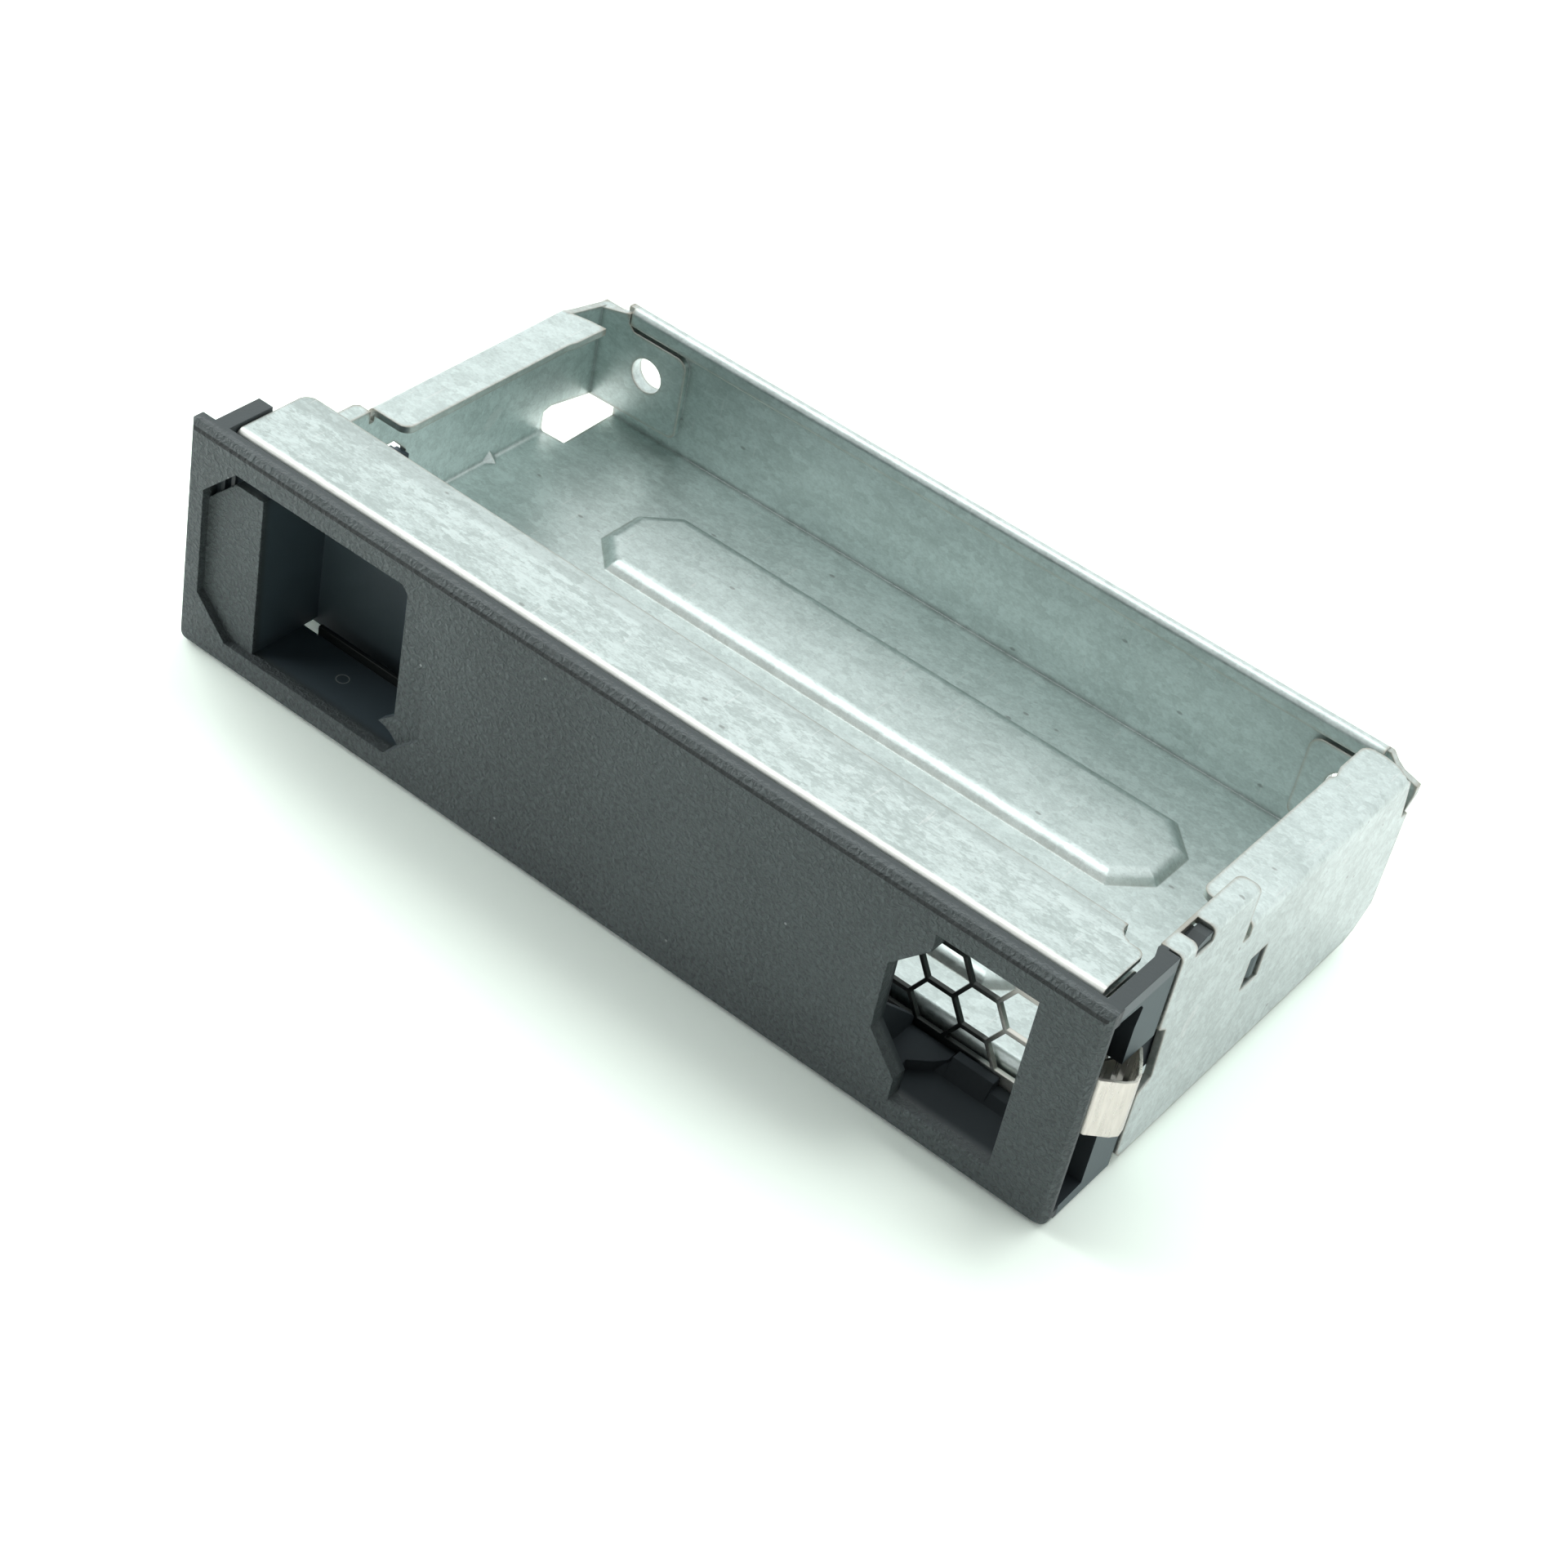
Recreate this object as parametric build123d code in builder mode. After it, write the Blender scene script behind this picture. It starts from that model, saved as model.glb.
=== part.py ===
"""Blank filler for a 3.5-inch drive bay: black bezel, folded steel tray, vented front panel, contact spring.

Millimetres. X runs along the face plate, Y from the face plate to the rear, Z up from the plate's lower edge.
"""
from build123d import *
import copy
import math
import os

os.makedirs("parts", exist_ok=True)

# Face plate
plate_w = 107.0
plate_h = 26.3
plate_t = 1.85
plate_foot_z = -0.12
plate_bevel = 0.65
plate_corner_r = 1.3

# Finger pocket window at the left of the plate
pocket_x0 = 2.4 - plate_w / 2
pocket_x1 = pocket_x0 + 29.6
window_z0 = 2.95
window_z1 = plate_h - 2.9
pocket_cut = 4.05
grip_w = 7.0
grip_set_back = 0.9
pocket_back_y = 10.0
pocket_wall = 1.0

# Vent window at the right of the plate
vent_x1 = plate_w / 2 - 6.65
vent_x_mid = vent_x1 - 11.05
vent_x0 = vent_x_mid - 3.45

# Sheet metal: the tray's gauge and the front panel's thinner gauge
sheet = 0.8
bend_r = 0.95
side_bend_r = 0.45
panel_sheet = 0.5

# Front panel: hemmed top strip and honeycomb wall
strip_z = plate_h - 0.3
strip_x0 = 3.7 - plate_w / 2
strip_x1 = plate_w / 2 - 2.6
strip_front_y = 2.6
strip_rear_left_y = 12.2
strip_rear_right_y = 11.1
strip_step_x = strip_x1 - 3.0
strip_step_y = 9.25
strip_flange_drop = 2.6
strip_fold = 1.8
strip_under_z = strip_z - strip_fold
wall_y = 8.2
wall_foot_z = 2.0
pocket_sill_z = 3.95
comb_pitch = 5.07
comb_step = 4.34
comb_flat = 4.62
comb_x = vent_x0 + 5.92
comb_z = 9.9
comb_low_z = 5.0
comb_high_z = strip_under_z - 2.1

# Tray
floor_z = 6.5
tray_left_x = 4.2 - plate_w / 2
tray_right_x = plate_w / 2 + 0.1
left_in = tray_left_x + sheet
right_in = tray_right_x - sheet
skirt_z = 0.8
rim_z = 21.2
tray_front_y = 9.0
rear_y = 57.0
flange_left_w = 5.2
flange_right_w = 5.7
ear_z = strip_z + 0.2
ear_w = 2.4
ear_front_y = 11.1
ear_rear_y = 24.1
flange_right_y = ear_rear_y + 1.1
flange_left_y = 20.7
hem_drop = 2.05
tab_hole_r = 2.0
tab_hole_z = 14.1
pad_rise = 1.0
pad_slope = 1.1
pad_bend_r = 1.8

# Bezel side walls and snap arms
side_right_x = plate_w / 2 - 0.1
side_right_t = 2.3
side_right_lip_t = 1.65
side_right_y = 10.7
side_left_x = 1.65 - plate_w / 2
side_left_t = 1.85
side_left_y = 7.6
side_z0 = 0.4

# Contact spring
spring_z0 = 11.9
spring_z1 = 18.5
spring_inner_z1 = 16.85
spring_t = 0.3


def window_outline():
    """Finger pocket outline: a rectangle with all four corners cut."""
    x0, x1, z0, z1, c = pocket_x0, pocket_x1, window_z0, window_z1, pocket_cut
    return [(x0 + c, z0), (x1 - c, z0), (x1, z0 + c), (x1, z1 - c),
            (x1 - c, z1), (x0 + c, z1), (x0, z1 - c), (x0, z0 + c)]


def vent_outline():
    """Vent window outline with the notch of its left side."""
    return [(vent_x_mid, window_z0), (vent_x1, window_z0), (vent_x1, window_z1), (vent_x_mid + 0.3, window_z1),
            (vent_x_mid + 0.3, window_z1 - 2.0), (vent_x0, window_z1 - 6.1), (vent_x0, window_z0 + 6.45),
            (vent_x_mid, window_z0 + 2.45)]


def box(x0, x1, y0, y1, z0, z1, mode=Mode.ADD):
    """Axis-aligned block in the part that is being built."""
    with Locations(((x0 + x1) / 2, (y0 + y1) / 2, (z0 + z1) / 2)):
        Box(x1 - x0, y1 - y0, z1 - z0, mode=mode)


def upright(points, y0, y1, mode=Mode.ADD):
    """Prism with an X-Z outline, from y0 to y1."""
    with BuildSketch(Plane.XZ.offset(-y0)) as outline:
        with BuildLine():
            Polyline(*points, close=True)
        make_face()
    extrude(outline.sketch, amount=-(y1 - y0), mode=mode)


def side_on(points, x0, x1, mode=Mode.ADD):
    """Prism with a Y-Z outline, from x0 to x1."""
    with BuildSketch(Plane.YZ.offset(x0)) as outline:
        with BuildLine():
            Polyline(*points, close=True)
        make_face()
    extrude(outline.sketch, amount=x1 - x0, mode=mode)


def flat(points, z0, z1, mode=Mode.ADD):
    """Prism with an X-Y outline, from z0 to z1."""
    with BuildSketch(Plane.XY.offset(z0)) as outline:
        with BuildLine():
            Polyline(*points, close=True)
        make_face()
    extrude(outline.sketch, amount=z1 - z0, mode=mode)


def edges_at(part, axis, x=None, y=None, z=None, tol=0.05):
    """Edges along an axis whose centre matches the given coordinates."""
    found = part.edges().filter_by(axis)
    for value, pick in ((x, "X"), (y, "Y"), (z, "Z")):
        if value is not None:
            found = found.filter_by(lambda e, v=value, p=pick: abs(getattr(e.center(), p) - v) < tol)
    return found


# Front bezel: plate, windows, grip, pocket, side walls, arms
with BuildPart() as front_bezel:
    half = plate_w / 2
    with BuildSketch(Plane.XZ) as plate_face:
        with Locations((0, (plate_h + plate_foot_z) / 2)):
            Rectangle(plate_w, plate_h - plate_foot_z)
        fillet(plate_face.vertices().group_by(Axis.Y)[0], plate_corner_r)
    extrude(amount=-plate_t)
    chamfer(edges_at(front_bezel, Axis.X, y=0, z=plate_h), plate_bevel)
    chamfer(edges_at(front_bezel, Axis.Z, y=0), plate_bevel * 0.9)

    # Side walls behind the plate
    box(side_right_x - side_right_t, side_right_x, plate_t - 0.2, side_right_y, side_z0, plate_h)
    box(side_left_x, side_left_x + side_left_t, plate_t - 0.2, side_left_y, side_z0, plate_h)

    # Finger pocket: five walls around the space behind the left window
    px0 = pocket_x0 + grip_w - pocket_wall
    px1 = pocket_x1 + pocket_wall
    box(px0, px1, plate_t - 0.2, pocket_back_y + pocket_wall, window_z0 - pocket_wall, window_z1 + 0.65)
    box(px0 + pocket_wall, px1 - pocket_wall, plate_t - 0.3, pocket_back_y, window_z0, window_z1, Mode.SUBTRACT)

    # Windows through the plate
    upright(window_outline(), -0.1, plate_t + 0.01, Mode.SUBTRACT)
    upright(vent_outline(), -0.1, plate_t + 0.01, Mode.SUBTRACT)

    # Gap in the pocket's floor where the front panel's sill stands, open below
    box(px0 - 0.1, px1 + 0.1, wall_y - 0.05, pocket_back_y, 0, window_z0 + 0.01, Mode.SUBTRACT)
    box(px0 - 0.1, px1 + 0.1, pocket_back_y - 0.01, pocket_back_y + 1.1, 0, 2.35, Mode.SUBTRACT)
    box(pocket_x0 + 8.7, px1 + 0.1, wall_y - 0.05, wall_y + sheet + 0.05, 0, pocket_sill_z + 0.1, Mode.SUBTRACT)

    # Grip slab, set back in the window's left end
    gx1 = pocket_x0 + grip_w
    gz1 = window_z1 - 1.9
    upright([(pocket_x0 - 0.3, window_z0 + 3.2), (pocket_x0 + 3.1, window_z0 - 0.3), (gx1, window_z0 - 0.3),
             (gx1, gz1), (pocket_x0 + 3.4, gz1), (pocket_x0 - 0.3, gz1 - 3.7)],
            grip_set_back, grip_set_back + 1.9)
    # Two small ribs that join the slab's upper corner to the plate
    for rib_x in (pocket_x0 + 1.1, pocket_x0 + 2.4):
        box(rib_x - 0.25, rib_x + 0.25, grip_set_back + 0.6, plate_t, 17.6, 22.9)

    # Ledge with a hollow underside at the pocket's lower right corner
    with BuildSketch(Plane.XZ.offset(-1.0)):
        with BuildLine():
            Polyline((pocket_x1 + 0.1, window_z0 - 0.1), (pocket_x1 + 0.1, window_z1 - 1.4),
                     (pocket_x1 - 4.1, window_z1 - 0.8), (pocket_x1 - 4.0, window_z0 + 4.05),
                     (pocket_x1 - 5.9, window_z0 + 2.35))
            ThreePointArc((pocket_x1 - 5.9, window_z0 + 2.35), (pocket_x1 - 3.85, window_z0 + 1.5),
                          (pocket_x1 - 2.8, window_z0 - 0.1))
            Line((pocket_x1 - 2.8, window_z0 - 0.1), (pocket_x1 + 0.1, window_z0 - 0.1))
        make_face()
    extrude(amount=-1.0)

    # Scoop behind the vent window: floor, left wall, slanted corner, riser with a ledge on top
    shelf_x0 = vent_x0 - 1.15
    shelf_x1 = side_right_x - side_right_lip_t + 0.1
    ledge_z = comb_low_z - 0.3
    box(shelf_x0, shelf_x1, plate_t - 0.2, 6.1, window_z0 - 1.1, window_z0)
    box(shelf_x0, shelf_x1, 6.0, wall_y - 0.1, window_z0 - 1.5, window_z0 - 0.7)
    side_on([(plate_t - 0.2, window_z0 - 0.1), (wall_y - 0.1, window_z0 - 0.8), (wall_y - 0.1, 5.2),
             (plate_t - 0.2, 11.2)], shelf_x0, vent_x0 - 0.05)
    flat([(vent_x0 - 0.1, plate_t - 0.2), (vent_x_mid - 0.9, plate_t - 0.2), (vent_x_mid - 1.2, 4.0),
          (vent_x_mid + 0.7, 5.7), (vent_x_mid + 1.5, 6.9), (vent_x_mid + 1.5, wall_y - 0.1),
          (vent_x0 - 0.1, wall_y - 0.1)], window_z0 - 0.9, ledge_z - 0.5)
    side_on([(5.9, window_z0 - 0.5), (wall_y - 0.1, window_z0 - 1.2), (wall_y - 0.1, ledge_z), (7.0, ledge_z),
             (5.9, window_z0)], vent_x_mid + 1.8, vent_x_mid + 6.3)
    side_on([(5.9, window_z0 - 0.5), (wall_y - 0.1, window_z0 - 1.2), (wall_y - 0.1, ledge_z - 0.9),
             (6.7, ledge_z - 0.9), (5.9, window_z0)], vent_x_mid - 0.5, shelf_x1)
    # Rear side of the vent window's right edge
    box(vent_x1, vent_x1 + 0.9, plate_t - 0.2, wall_y - 0.1, window_z0 - 1.1, 8.5)

    # Recess in the right side wall, with the opening for the spring behind it
    side_on([(1.05, 1.7), (5.6, 2.0), (5.6, 21.5), (6.0, 23.6), (5.5, 24.2), (1.05, 24.5)],
            side_right_x - 1.7, plate_w / 2 + 0.1, Mode.SUBTRACT)
    box(side_right_x - side_right_t - 0.1, side_right_x + 0.2, 5.5, 9.5, 10.4, 17.0, Mode.SUBTRACT)
    box(side_right_x - 0.8, side_right_x + 0.2, 9.4, side_right_y + 0.1, 9.8, 17.0, Mode.SUBTRACT)
    # The wall is thinner along its top, and over its whole height behind the recess
    lip_x = side_right_x - side_right_lip_t
    box(side_right_x - side_right_t - 0.1, lip_x, plate_t, 7.4, plate_h - 1.7, plate_h + 0.1, Mode.SUBTRACT)
    box(side_right_x - side_right_t - 0.1, lip_x, 7.3, side_right_y + 0.1, side_z0 - 0.1, plate_h + 0.1, Mode.SUBTRACT)
    # Rounded nose at the top of the wall's rear end, and the catch in the hole of the tray's ear
    flat([(lip_x + 0.05, 9.2), (lip_x - 0.3, 10.0), (lip_x - 0.46, 10.4), (lip_x - 0.42, 10.75), (lip_x - 0.25, 10.92),
          (lip_x + 0.05, 11.0), (lip_x + 0.4, 11.0), (lip_x + 0.4, 9.2)], ear_z - 2.2, plate_h)
    box(lip_x - 0.55, right_in - 0.15, side_right_y - 0.1, 16.2, ear_z - 2.8, ear_z - 1.0)
    side_on([(13.65, ear_z - 1.3), (16.25, ear_z - 1.3), (16.25, ear_z - 0.4), (15.2, ear_z - 0.4),
             (13.65, ear_z - 0.9)], lip_x + 0.15, tray_right_x - 0.2)

    # Right snap arm inside the tray's wall, hook in the wall's opening
    box(right_in - 1.6, right_in - 0.2, 9.5, 30.6, 10.8, 15.4)
    flat([(right_in - 0.3, 27.9), (right_in - 0.3, 30.5), (right_in + 0.55, 30.2), (right_in + 0.55, 29.6)], 11.3, 14.7)
    # Left snap arm outside the tray's wall, hook through the wall's opening
    side_on([(side_left_y - 1.5, 11.4), (26.6, 11.4), (26.6, 12.9), (23.2, 13.1), (20.8, 15.6), (side_left_y - 1.5, 15.6)],
            tray_left_x - 1.6, tray_left_x - 0.15)
    flat([(tray_left_x - 0.3, 22.9), (tray_left_x - 0.3, 26.0), (tray_left_x + 1.4, 26.0), (tray_left_x + 1.0, 24.9)],
         12.3, 13.8)
    # Root of the left arm
    box(side_left_x + 0.55, side_left_x + side_left_t, 5.5, side_left_y + 1.2, 9.8, 17.2)
    # Softened lower edge of the vent window
    chamfer(edges_at(front_bezel, Axis.X, y=0, z=window_z0).filter_by(lambda e: e.center().X > 0), 0.2)

front_bezel.part.label = "front_bezel"
front_bezel.part.color = Color(0.08, 0.085, 0.09)


# Front panel: the strip's cross-section is a hem that turns down into the honeycomb wall
with BuildPart() as front_panel:
    top_in = strip_z - panel_sheet
    low_top = strip_under_z + panel_sheet
    hem_r = (strip_z - strip_under_z) / 2
    hem_in = hem_r - panel_sheet
    hem_y = strip_front_y + hem_r
    wall_in = wall_y + panel_sheet
    strip_back = strip_rear_left_y + 1
    with BuildSketch(Plane.YZ.offset(strip_x0)) as profile:
        with BuildLine():
            Polyline((strip_back, top_in), (strip_back, strip_z), (hem_y, strip_z))
            ThreePointArc((hem_y, strip_z), (strip_front_y, strip_z - hem_r), (hem_y, strip_under_z))
            Line((hem_y, strip_under_z), (wall_y - 0.6, strip_under_z))
            RadiusArc((wall_y - 0.6, strip_under_z), (wall_y, strip_under_z - 0.6), 0.6)
            Polyline((wall_y, strip_under_z - 0.6), (wall_y, wall_foot_z), (wall_in, wall_foot_z),
                     (wall_in, low_top - 1.1))
            RadiusArc((wall_in, low_top - 1.1), (wall_in - 1.1, low_top), -1.1)
            Line((wall_in - 1.1, low_top), (hem_y, low_top))
            ThreePointArc((hem_y, low_top), (hem_y - hem_in, strip_z - hem_r), (hem_y, top_in))
            Line((hem_y, top_in), (strip_back, top_in))
        make_face()
    extrude(amount=strip_x1 - strip_x0)

    # The upright wall reaches full height only to the right of the finger pocket
    wall_left = pocket_x1 + pocket_wall + 0.4
    box(strip_x0 - 0.1, wall_left, wall_y - 0.7, wall_in + 0.1, pocket_sill_z, low_top - 0.01 - 1.1, Mode.SUBTRACT)
    box(strip_x0 - 0.1, wall_left, wall_y - 0.5, wall_in + 0.1, pocket_sill_z, low_top + 0.1, Mode.SUBTRACT)
    box(strip_x0 - 0.1, pocket_x0 + 8.9, wall_y - 0.1, wall_in + 0.1, wall_foot_z - 0.1, pocket_sill_z + 0.1, Mode.SUBTRACT)
    # Foot lip, turned back under the tray
    side_on([(wall_y, wall_foot_z + 0.3), (wall_y + 0.2, wall_foot_z - 0.3), (wall_y + 0.7, wall_foot_z - panel_sheet),
             (wall_y + 4.0, wall_foot_z - panel_sheet), (wall_y + 4.0, wall_foot_z), (wall_in, wall_foot_z),
             (wall_in, wall_foot_z + 0.3)], wall_left + 1.1, strip_x1 - 3.9)

    # The strip's rear edge runs slightly askew and steps forward at its right end
    flat([(strip_x0 - 1, strip_rear_left_y), (strip_step_x + 0.35, strip_rear_right_y), (strip_step_x + 1.2, strip_step_y),
          (strip_x1 + 1, strip_step_y), (strip_x1 + 1, strip_back + 1), (strip_x0 - 1, strip_back + 1)],
         top_in - 0.05, strip_z + 0.1, Mode.SUBTRACT)
    with BuildSketch(Plane.XY.offset(top_in - 0.05)):
        with Locations((strip_step_x + 1.45, strip_rear_right_y - 0.25)):
            Circle(1.5)
    extrude(amount=panel_sheet + 0.2, mode=Mode.SUBTRACT)
    rear_corners = front_panel.edges().filter_by(Axis.Z).filter_by(lambda e: e.center().Z > top_in and e.center().Y > 9)
    fillet(rear_corners.sort_by(Axis.X)[0], 1.3)
    fillet(rear_corners.sort_by(Axis.X)[-1], 0.9)
    # Flange turned down along the rear edge
    slope = (strip_rear_right_y - strip_rear_left_y) / (strip_step_x - strip_x0)
    flange_x0 = strip_x0 + 1.4
    flat([(flange_x0, strip_rear_left_y + slope * 1.4), (strip_step_x, strip_rear_right_y),
          (strip_step_x, strip_rear_right_y - panel_sheet),
          (flange_x0, strip_rear_left_y + slope * 1.4 - panel_sheet)], strip_z - strip_flange_drop, top_in + 0.1)

    # Honeycomb: hexagons with flat top and bottom, the outer rows cut straight
    radius = comb_flat / math.sqrt(3)
    cells = []
    for col in range(-3, 3):
        shift = 0 if col % 2 == 0 else -comb_pitch / 2
        for row in range(-2, 4):
            centre_z = comb_z + shift + row * comb_pitch
            if comb_low_z - 0.2 <= centre_z <= comb_high_z + 0.2:
                cells.append((comb_x + col * comb_step, centre_z))
    with BuildSketch(Plane.XZ.offset(-(wall_y - 0.1))):
        with Locations(*cells):
            RegularPolygon(radius, 6, major_radius=True)
        with Locations((comb_x, (comb_low_z + comb_high_z) / 2)):
            Rectangle(8 * comb_step, comb_high_z - comb_low_z, mode=Mode.INTERSECT)
    extrude(amount=-(panel_sheet + 0.2), mode=Mode.SUBTRACT)

front_panel.part.label = "front_panel"
front_panel.part.color = Color(0.72, 0.76, 0.75)


def pad(outline_y0, outline_y1):
    """Raised octagonal pad pressed up in the floor, hollow below, with a rounded bend along its top."""
    x0, x1, cut = tray_left_x + 17.7, tray_right_x - 14.8, 3.7
    for lift, mode in ((0, Mode.ADD), (-sheet, Mode.SUBTRACT)):
        sketches = []
        for z, inset in ((floor_z + lift, 0), (floor_z + lift + pad_rise, pad_slope)):
            a, b, c, d, k = x0 + inset, x1 - inset, outline_y0 + inset, outline_y1 - inset, cut - inset * 0.59
            with BuildSketch(Plane.XY.offset(z)) as loop:
                with BuildLine():
                    Polyline((a + k, c), (b - k, c), (b, c + k), (b, d - k), (b - k, d), (a + k, d), (a, d - k),
                             (a, c + k), close=True)
                make_face()
            sketches.append(loop.sketch)
        loft(sections=sketches, mode=mode)
    for z, radius in ((floor_z + pad_rise, pad_bend_r), (floor_z - sheet + pad_rise, pad_bend_r - sheet)):
        bend = steel_tray.edges().filter_by_position(Axis.Z, z - 0.01, z + 0.01)
        bend = bend.filter_by_position(Axis.Y, outline_y0 - 0.01, outline_y1 + 0.01)
        bend = bend.filter_by_position(Axis.X, x0 - 0.01, x1 + 0.01)
        fillet(bend, radius)


# Steel tray
with BuildPart() as steel_tray:
    floor_bot = floor_z - sheet

    # Floor with its front lip turned down behind the honeycomb wall
    with BuildSketch(Plane.YZ.offset(left_in - 0.1)):
        with BuildLine():
            Polyline((rear_y, floor_bot), (rear_y, floor_z), (tray_front_y + bend_r, floor_z))
            RadiusArc((tray_front_y + bend_r, floor_z), (tray_front_y, floor_z - bend_r), -bend_r)
            Polyline((tray_front_y, floor_z - bend_r), (tray_front_y, 3.3), (tray_front_y + sheet, 3.3),
                     (tray_front_y + sheet, floor_z - bend_r))
            Polyline((tray_front_y + sheet, floor_z - bend_r), (tray_front_y + bend_r, floor_bot), (rear_y, floor_bot))
        make_face()
    extrude(amount=right_in - left_in + 0.2)
    # The lip stops short of the pocket's back wall and of the right snap arm
    box(left_in - 0.2, pocket_x1 + pocket_wall + 0.4, tray_front_y - 0.1, pocket_back_y + pocket_wall + 0.3,
        3.0, floor_z + 0.1, Mode.SUBTRACT)

    box(side_right_x - side_right_t - 0.4, right_in + 0.2, tray_front_y - 0.1, side_right_y + 0.3, 3.0, floor_z + 0.1,
        Mode.SUBTRACT)

    # Side walls, doubled below the floor by the hem that carries it
    side_on([(tray_front_y + 1.3, skirt_z), (rear_y - 8.6, skirt_z), (rear_y - 8.6, 8.9), (rear_y - 7.4, 9.2),
             (rear_y, 7.9), (rear_y, 19.2), (rear_y - 5.8, 20.4), (rear_y - 7.6, rim_z), (tray_front_y + 1.3, rim_z)],
            tray_left_x, left_in)
    side_on([(ear_front_y, 1.7), (ear_front_y + 0.8, skirt_z), (rear_y - 4.3, skirt_z), (rear_y - 2.4, 1.4),
             (rear_y, 3.5), (rear_y, 15.4), (rear_y - 1.3, 15.6), (rear_y - 2.6, 20.8), (rear_y - 3.1, rim_z),
             (ear_front_y, rim_z)], right_in, tray_right_x)
    box(left_in - 0.1, left_in + sheet - 0.1, 12.4, rear_y - 8.6, skirt_z, floor_z - 0.3)
    box(right_in - sheet + 0.1, right_in + 0.1, 12.8, rear_y - 6, skirt_z, floor_z - 0.3)

    # Bends between the floor and the side walls
    fillet(edges_at(steel_tray, Axis.Y, x=left_in, z=floor_z), side_bend_r)
    fillet(edges_at(steel_tray, Axis.Y, x=right_in, z=floor_z), side_bend_r)

    # Inward flanges on both walls
    flat([(tray_left_x, flange_left_y), (tray_left_x + flange_left_w, flange_left_y), (tray_left_x + flange_left_w, rear_y - 11.8),
          (tray_left_x + flange_left_w + 0.25, rear_y - 10.7), (tray_left_x + flange_left_w + 0.4, rear_y - 6.3),
          (tray_left_x + 3.6, rear_y - 6.5), (tray_left_x + 1.4, rear_y - 7.0), (tray_left_x, rear_y - 7.8)],
         rim_z - sheet, rim_z)
    flange_x = tray_right_x - flange_right_w
    flat([(tray_right_x, flange_right_y), (flange_x, flange_right_y), (flange_x, rear_y - 8.7), (flange_x + 0.4, rear_y - 8.1),
          (flange_x, rear_y - 6.6), (flange_x, rear_y - 1.7), (tray_right_x - 3.4, rear_y - 1.65),
          (tray_right_x - 1.7, rear_y - 2.0), (tray_right_x, rear_y - 3.2)], rim_z - sheet, rim_z)
    # Outward ear at the front of the left wall
    flat([(left_in, tray_front_y + 1.3), (tray_left_x - 1.1, tray_front_y + 1.3), (tray_left_x - 1.1, flange_left_y - 1.1),
          (tray_left_x - 0.7, flange_left_y - 0.6), (left_in, flange_left_y - 0.6)], rim_z - sheet, rim_z)

    # Tall ear of the right wall, with the relief slit behind it
    box(right_in, tray_right_x, ear_front_y, ear_rear_y, rim_z - 0.1, ear_z)
    box(tray_right_x - ear_w, tray_right_x, ear_front_y, ear_rear_y, ear_z - sheet, ear_z)
    box(right_in - 0.1, tray_right_x + 0.1, ear_rear_y, flange_right_y, 19.5, rim_z + 0.1, Mode.SUBTRACT)
    box(tray_left_x - 0.1, left_in + 0.1, flange_left_y - 0.6, flange_left_y, rim_z - 1.5, rim_z + 0.1, Mode.SUBTRACT)

    # Bends: round the outer long edges of flanges and ears
    fillet(edges_at(steel_tray, Axis.Y, x=tray_left_x, z=rim_z).filter_by(lambda e: e.center().Y > 21), 0.75)
    fillet(edges_at(steel_tray, Axis.Y, x=tray_right_x, z=rim_z).filter_by(lambda e: e.length > 10), 0.75)
    fillet(edges_at(steel_tray, Axis.Y, x=tray_right_x, z=ear_z), 0.75)
    fillet(edges_at(steel_tray, Axis.Z, x=tray_left_x + flange_left_w, y=flange_left_y), 1.2)
    fillet(edges_at(steel_tray, Axis.Z, x=flange_x, y=flange_right_y), 1.2)
    fillet(edges_at(steel_tray, Axis.Z, x=flange_x, y=rear_y - 1.7), 1.1)
    fillet(edges_at(steel_tray, Axis.Z, x=tray_right_x - ear_w, y=ear_rear_y), 0.9)

    # Square hole in the right ear's bend, notch for the spring, openings for the two snap hooks
    box(right_in - 1.2, tray_right_x + 0.1, 13.5, 16.4, ear_z - 1.5, ear_z + 0.1, Mode.SUBTRACT)
    side_on([(ear_front_y - 0.1, 17.5), (ear_front_y + 1.5, 16.5), (ear_front_y + 2.0, 10.2), (ear_front_y - 0.1, 9.4)],
            right_in - 0.1, tray_right_x + 0.1, Mode.SUBTRACT)
    box(right_in - 0.1, tray_right_x + 0.1, 27.8, 30.8, 11.0, 15.0, Mode.SUBTRACT)
    side_on([(22.4, 12.1), (26.15, 12.1), (26.15, 13.9), (24.2, 15.8), (22.4, 15.8)], tray_left_x - 0.1, left_in + 0.1,
            Mode.SUBTRACT)

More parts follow.
